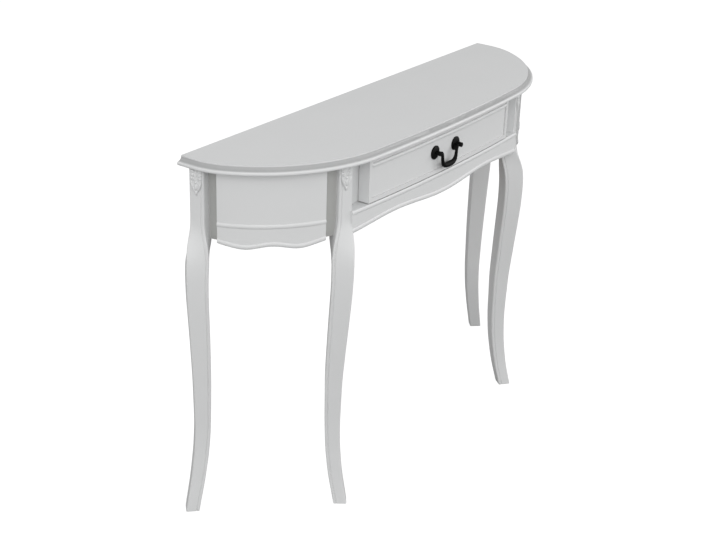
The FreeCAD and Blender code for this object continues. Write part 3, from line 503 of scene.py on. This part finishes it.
# %% Melt the leaf together
BACK_CUT, VOXEL, SMOOTHINGS = -0.05, 0.4, 3
bpy.ops.object.select_all(action="DESELECT")
for part in carving:
    part.select_set(True)
bpy.context.view_layer.objects.active = shield
bpy.ops.object.join()
leaf = bpy.context.object
leaf.name = "carved_leaf"
bpy.ops.object.mode_set(mode="EDIT")
bpy.ops.mesh.select_all(action="SELECT")
bpy.ops.mesh.bisect(plane_co=(0, BACK_CUT * MM, 0), plane_no=(0, 1, 0),
                    use_fill=True, clear_outer=True)
bpy.ops.object.mode_set(mode="OBJECT")
bpy.ops.object.modifier_add(type="REMESH")
leaf.modifiers[-1].mode = "VOXEL"
leaf.modifiers[-1].voxel_size = VOXEL * MM
bpy.ops.object.modifier_apply(modifier=leaf.modifiers[-1].name)
bpy.ops.object.modifier_add(type="SMOOTH")
leaf.modifiers[-1].iterations = SMOOTHINGS
bpy.ops.object.modifier_apply(modifier=leaf.modifiers[-1].name)
bpy.ops.object.shade_smooth()
give_finish(leaf, white_paint)
print("leaf faces", len(leaf.data.polygons), [round(v / MM, 1) for v in leaf.dimensions], "mm")

# %% [markdown]
# The four legs face four ways, so the finished leaf is copied four times and turned to each. The
# solid under each leaf gives its place: the middle of its box, and its upper edge.

# %% A leaf on each leg
LEAF_TURNS = {"front_left": -21, "front_right": 21, "back_left": -75, "back_right": 75}
HALF_THICK = 1.25 * MM
for side, turn in LEAF_TURNS.items():
    low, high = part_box("knee_carving_" + side)
    outward = Vector((math.sin(math.radians(turn)), -math.cos(math.radians(turn)), 0))
    upper_middle = Vector(((low.x + high.x) / 2, (low.y + high.y) / 2, high.z))
    copy = copy_of(leaf)
    copy.name = "carved_leaf_" + side
    copy.rotation_euler = (0, 0, math.radians(turn))
    copy.location = upper_middle - outward * HALF_THICK
    bpy.ops.object.transform_apply(location=True, rotation=True, scale=True)
    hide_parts("knee_carving_" + side)
    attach(copy, "frame")
for spare in (leaf, lobe):
    bpy.data.objects.remove(spare)
print("leaves", len(LEAF_TURNS))

# %% [markdown]
# ## Drawer bead
#
# A slim half-round bead runs along the drawer front, just under the shade of the top. It follows
# the bow of the front, so a straight bar won't do. One small ring is flattened at its back and
# spun round the far centre of the bow as far as one end. Only half is drawn, because a mirror
# makes both ends alike.

# %% Half of the bead
BOW_RADIUS, BOW_CENTRE = 4.36024, 4.21874
FIELD_INSET, FRAME_WIDE = 24.5 * MM, 9.0 * MM
BEAD_LEVEL, BEAD_HALF, BEAD_PROUD = 740.5 * MM, 4.6 * MM, 4.0 * MM
BACK_PRESS, BEAD_STEPS = 0.03, 60
drawer_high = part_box("drawer_front")[1]
sweep = math.asin((drawer_high.x - FRAME_WIDE) / (BOW_RADIUS - FIELD_INSET))
start = Vector((0, BOW_CENTRE - BOW_RADIUS + FIELD_INSET, BEAD_LEVEL))
bpy.ops.object.select_all(action="DESELECT")
bpy.ops.mesh.primitive_circle_add(vertices=14, radius=1, location=start,
                                  rotation=(0, math.pi / 2, 0))
bead = bpy.context.object
bead.name = "drawer_top_bead"
bpy.ops.object.transform_apply(location=True, rotation=True, scale=True)
bpy.ops.object.mode_set(mode="EDIT")
bpy.ops.mesh.select_all(action="SELECT")
bpy.ops.transform.resize(value=(1, BEAD_PROUD, BEAD_HALF), center_override=start)
pick_points(bead, lambda at: at.y > start.y)
bpy.ops.transform.resize(value=(1, BACK_PRESS, 1), center_override=start)
bpy.ops.mesh.select_all(action="SELECT")
bpy.ops.mesh.spin(steps=BEAD_STEPS, angle=sweep, center=(0, BOW_CENTRE, start.z), axis=(0, 0, 1))
bpy.ops.mesh.edge_face_add()
bpy.ops.object.mode_set(mode="OBJECT")
print("half bead", [round(v / MM, 1) for v in bead.dimensions], "mm")

# %% [markdown]
# The mirror works across the middle of the table, where the origin lies. The two halves share
# their first ring, so its doubled points are merged, and the faces are then turned outwards again.
# The handle below is mirrored in the same way, so the steps are a helper.

# %% Whole bead
SEAM_REACH, DOUBLE_REACH = 0.05 * MM, 0.01 * MM
BEAD_CREASE = math.radians(40)


def mirror_whole(piece):
    """The half piece with its other half, closed at the seam and with its faces outwards."""
    bpy.ops.object.modifier_add(type="MIRROR")
    piece.modifiers[-1].merge_threshold = SEAM_REACH
    bpy.ops.object.modifier_apply(modifier=piece.modifiers[-1].name)
    bpy.ops.object.mode_set(mode="EDIT")
    bpy.ops.mesh.select_all(action="SELECT")
    bpy.ops.mesh.remove_doubles(threshold=DOUBLE_REACH)
    bpy.ops.mesh.normals_make_consistent(inside=False)
    bpy.ops.object.mode_set(mode="OBJECT")


mirror_whole(bead)
bpy.ops.object.shade_smooth_by_angle(angle=BEAD_CREASE)
give_finish(bead, white_paint)
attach(bead, "drawer")
print("bead", [round(v / MM, 1) for v in bead.dimensions], "mm, faces", len(bead.data.polygons))

# %% [markdown]
# ## Cast bail
#
# The drawer is pulled by a drooping bar that was cast, so it is thick where the fingers go and slim
# at its pins. A plain pipe can't show that. Half of the bar is drawn out of one ring of points,
# step by step: each step moves the ring, turns it along the bar and sets its width. A row of
# numbers gives each step: across and up from the pins, and the radius there.

# %% Half of the bail
BAIL_STEPS = ((0.0, -33.0, 6.5), (8.0, -32.8, 6.3), (14.6, -32.0, 5.7), (19.6, -30.0, 5.0),
              (23.0, -26.4, 4.4), (24.9, -21.6, 3.9), (25.9, -15.6, 3.5), (26.7, -9.0, 3.3),
              (27.6, -4.4, 3.3), (29.2, -1.2, 3.2), (31.0, 0.0, 3.0), (32.2, 0.0, 2.8),
              (32.25, 0.0, 1.95), (36.5, 0.0, 1.95))
joints = {joint["name"]: joint for joint in frame["record"]["behaviour"]["joints"]}
pivot = Vector(joints["bail_hinge"]["pos_m"])
spots = [pivot + Vector((across * MM, 0, up * MM)) for across, up, radius in BAIL_STEPS]
radii = [radius * MM for across, up, radius in BAIL_STEPS]
bpy.ops.object.select_all(action="DESELECT")
bpy.ops.mesh.primitive_circle_add(vertices=16, radius=radii[0], location=spots[0],
                                  rotation=(0, math.pi / 2, 0))
bail = bpy.context.object
bail.name = "cast_bail"
bpy.ops.object.transform_apply(location=True, rotation=True, scale=True)
bpy.ops.object.mode_set(mode="EDIT")
bpy.ops.mesh.select_all(action="SELECT")
leaning = 0.0
for step in range(1, len(spots)):
    move = spots[step] - spots[step - 1]
    onward = spots[min(step + 1, len(spots) - 1)] - spots[step - 1]
    lean = math.atan2(onward.z, onward.x)
    wider = radii[step] / radii[step - 1]
    bpy.ops.mesh.extrude_region_move(TRANSFORM_OT_translate={"value": move})
    bpy.ops.transform.resize(value=(wider, wider, wider), center_override=spots[step])
    bpy.ops.transform.rotate(value=lean - leaning, orient_axis="Y", center_override=spots[step])
    leaning = lean
bpy.ops.mesh.edge_face_add()
bpy.ops.object.mode_set(mode="OBJECT")
print("half bail", [round(v / MM, 1) for v in bail.dimensions], "mm")

# %% [markdown]
# The bail is mirrored like the bead. Its rings are few and far apart, which keeps them easy to
# place, so a subdivision surface rounds the bar between them at the end.

# %% Whole bail
ROUNDINGS = 2
mirror_whole(bail)
bpy.ops.object.modifier_add(type="SUBSURF")
bail.modifiers[-1].levels = bail.modifiers[-1].render_levels = ROUNDINGS
bpy.ops.object.modifier_apply(modifier=bail.modifiers[-1].name)
bpy.ops.object.shade_smooth()
give_finish(bail, black_iron)
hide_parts("handle_bail")
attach(bail, "bail")
print("bail faces", len(bail.data.polygons), [round(v / MM, 1) for v in bail.dimensions], "mm")

# %% [markdown]
# ## Stage
#
# The picture shows the table on pure white, with no line between floor and wall. A white floor
# would throw so much light up that the undersides go flat. So the floor is a mid grey for the light
# that bounces off it, and only what the camera sees of it glows white.

# %% Floor
FLOOR_WIDE, FLOOR_GLOW = 40, 0.88
bpy.ops.object.select_all(action="DESELECT")
bpy.ops.mesh.primitive_plane_add(size=FLOOR_WIDE, location=(0, 0, 0))
floor = bpy.context.object
floor.name = "studio_floor"
floor_paint, tree, shader, bump = start_material("pale_studio_floor")
skin = place_group(tree, paint_skin, Tone=(0.25, 0.25, 0.25, 1), Shade=(0.24, 0.24, 0.24, 1),
                   Cloud_Scale=1.0, Pebble_Scale=200.0)
ray = add_node(tree, "ShaderNodeLightPath")
glow = add_node(tree, "ShaderNodeMath", operation="MULTIPLY")
glow.inputs[1].default_value = FLOOR_GLOW
tree.links.new(skin.outputs["Color"], shader.inputs["Base Color"])
shader.inputs["Emission Color"].default_value = (1, 1, 1, 1)
tree.links.new(ray.outputs["Is Camera Ray"], glow.inputs[0])
tree.links.new(glow.outputs["Value"], shader.inputs["Emission Strength"])
tree.links.new(skin.outputs["Height"], bump.inputs["Height"])
shader.inputs["Roughness"].default_value = 0.9
bump.inputs["Strength"].default_value = 0.01
give_finish(floor, floor_paint)
print("floor", FLOOR_WIDE, "m wide")

# %% [markdown]
# The sky follows the same idea: white where the camera sees it, and weaker as a light, so that it
# fills the shadows without washing out the mouldings. The plain view transform keeps white white.

# %% Sky
SKY_AS_LIGHT, SKY_AS_SEEN = 0.62, 1.0
world = bpy.data.worlds.new("studio")
bpy.context.scene.world = world
world.use_nodes = True
sky = world.node_tree.nodes["Background"]
sky.inputs["Color"].default_value = (1, 1, 1, 1)
ray = add_node(world.node_tree, "ShaderNodeLightPath")
brighter = add_node(world.node_tree, "ShaderNodeMapRange",
                    sockets={"To Min": SKY_AS_LIGHT, "To Max": SKY_AS_SEEN})
world.node_tree.links.new(ray.outputs["Is Camera Ray"], brighter.inputs["Value"])
world.node_tree.links.new(brighter.outputs["Result"], sky.inputs["Strength"])
bpy.context.scene.view_settings.view_transform = "Standard"
print("sky", SKY_AS_LIGHT, "as light and", SKY_AS_SEEN, "as seen")

# %% [markdown]
# Four broad lamps model the forms. The right one is the smallest and draws the bow of the drawer.
# The front and left ones lift the legs and the end of the table, and the near one stands beside
# the camera and evens out the side panel. Broad lamps suit satin paint, because a small one would
# burn a white spot into the top.

# %% Lamps
def soft_lamp(name, spot, aim, size, power):
    """A broad square lamp that points at a place on the table."""
    bpy.ops.object.light_add(type="AREA", location=spot)
    lamp = bpy.context.object
    lamp.name = name
    lamp.rotation_mode = "QUATERNION"
    lamp.rotation_quaternion = (Vector(aim) - Vector(spot)).to_track_quat("-Z", "Y")
    lamp.data.size = size
    lamp.data.energy = power
    return lamp


lamps = [soft_lamp("right_lamp", (2.6, -2.4, 1.8), (0, 0, 0.6), size=1.4, power=30),
         soft_lamp("front_lamp", (0.6, -3.2, 1.2), (0, 0, 0.6), size=2.2, power=16),
         soft_lamp("left_lamp", (-3.2, 0.3, 1.6), (0, 0, 0.5), size=2.8, power=20),
         soft_lamp("near_lamp", (-2.2, -2.0, 1.9), (0, 0, 0.6), size=2.4, power=28)]
print("lamps", [lamp.name for lamp in lamps])

# %% [markdown]
# ## Camera
#
# The view is from the left front and above. The turn, tilt, lean and lens come from fitting the
# table's own corners to the picture. The picture is cropped off centre, so the lens is shifted.

# %% Camera
TURN, TILT, LEAN = math.radians(51.19), math.radians(-24.63), math.radians(0.675)
CAMERA_SPOT = (-2.2877, -1.5541, 1.6723)
ahead, drop = math.cos(TILT), math.sin(TILT)
looking = Vector((math.sin(TURN) * ahead, math.cos(TURN) * ahead, drop))
level_right = Vector((math.cos(TURN), -math.sin(TURN), 0))
level_up = level_right.cross(looking)
right = level_right * math.cos(LEAN) + level_up * math.sin(LEAN)
up = level_up * math.cos(LEAN) - level_right * math.sin(LEAN)
camera_data = bpy.data.cameras.new("camera")
camera = bpy.data.objects.new("camera", camera_data)
bpy.context.scene.collection.objects.link(camera)
turned = Matrix((right, up, -looking)).transposed().to_4x4()
camera.matrix_world = Matrix.Translation(CAMERA_SPOT) @ turned
camera_data.sensor_width = 36
camera_data.lens = 67.80
camera_data.shift_x = 0.0884
camera_data.shift_y = -0.0112
bpy.context.scene.camera = camera
print("camera at", [round(v, 3) for v in camera.location])
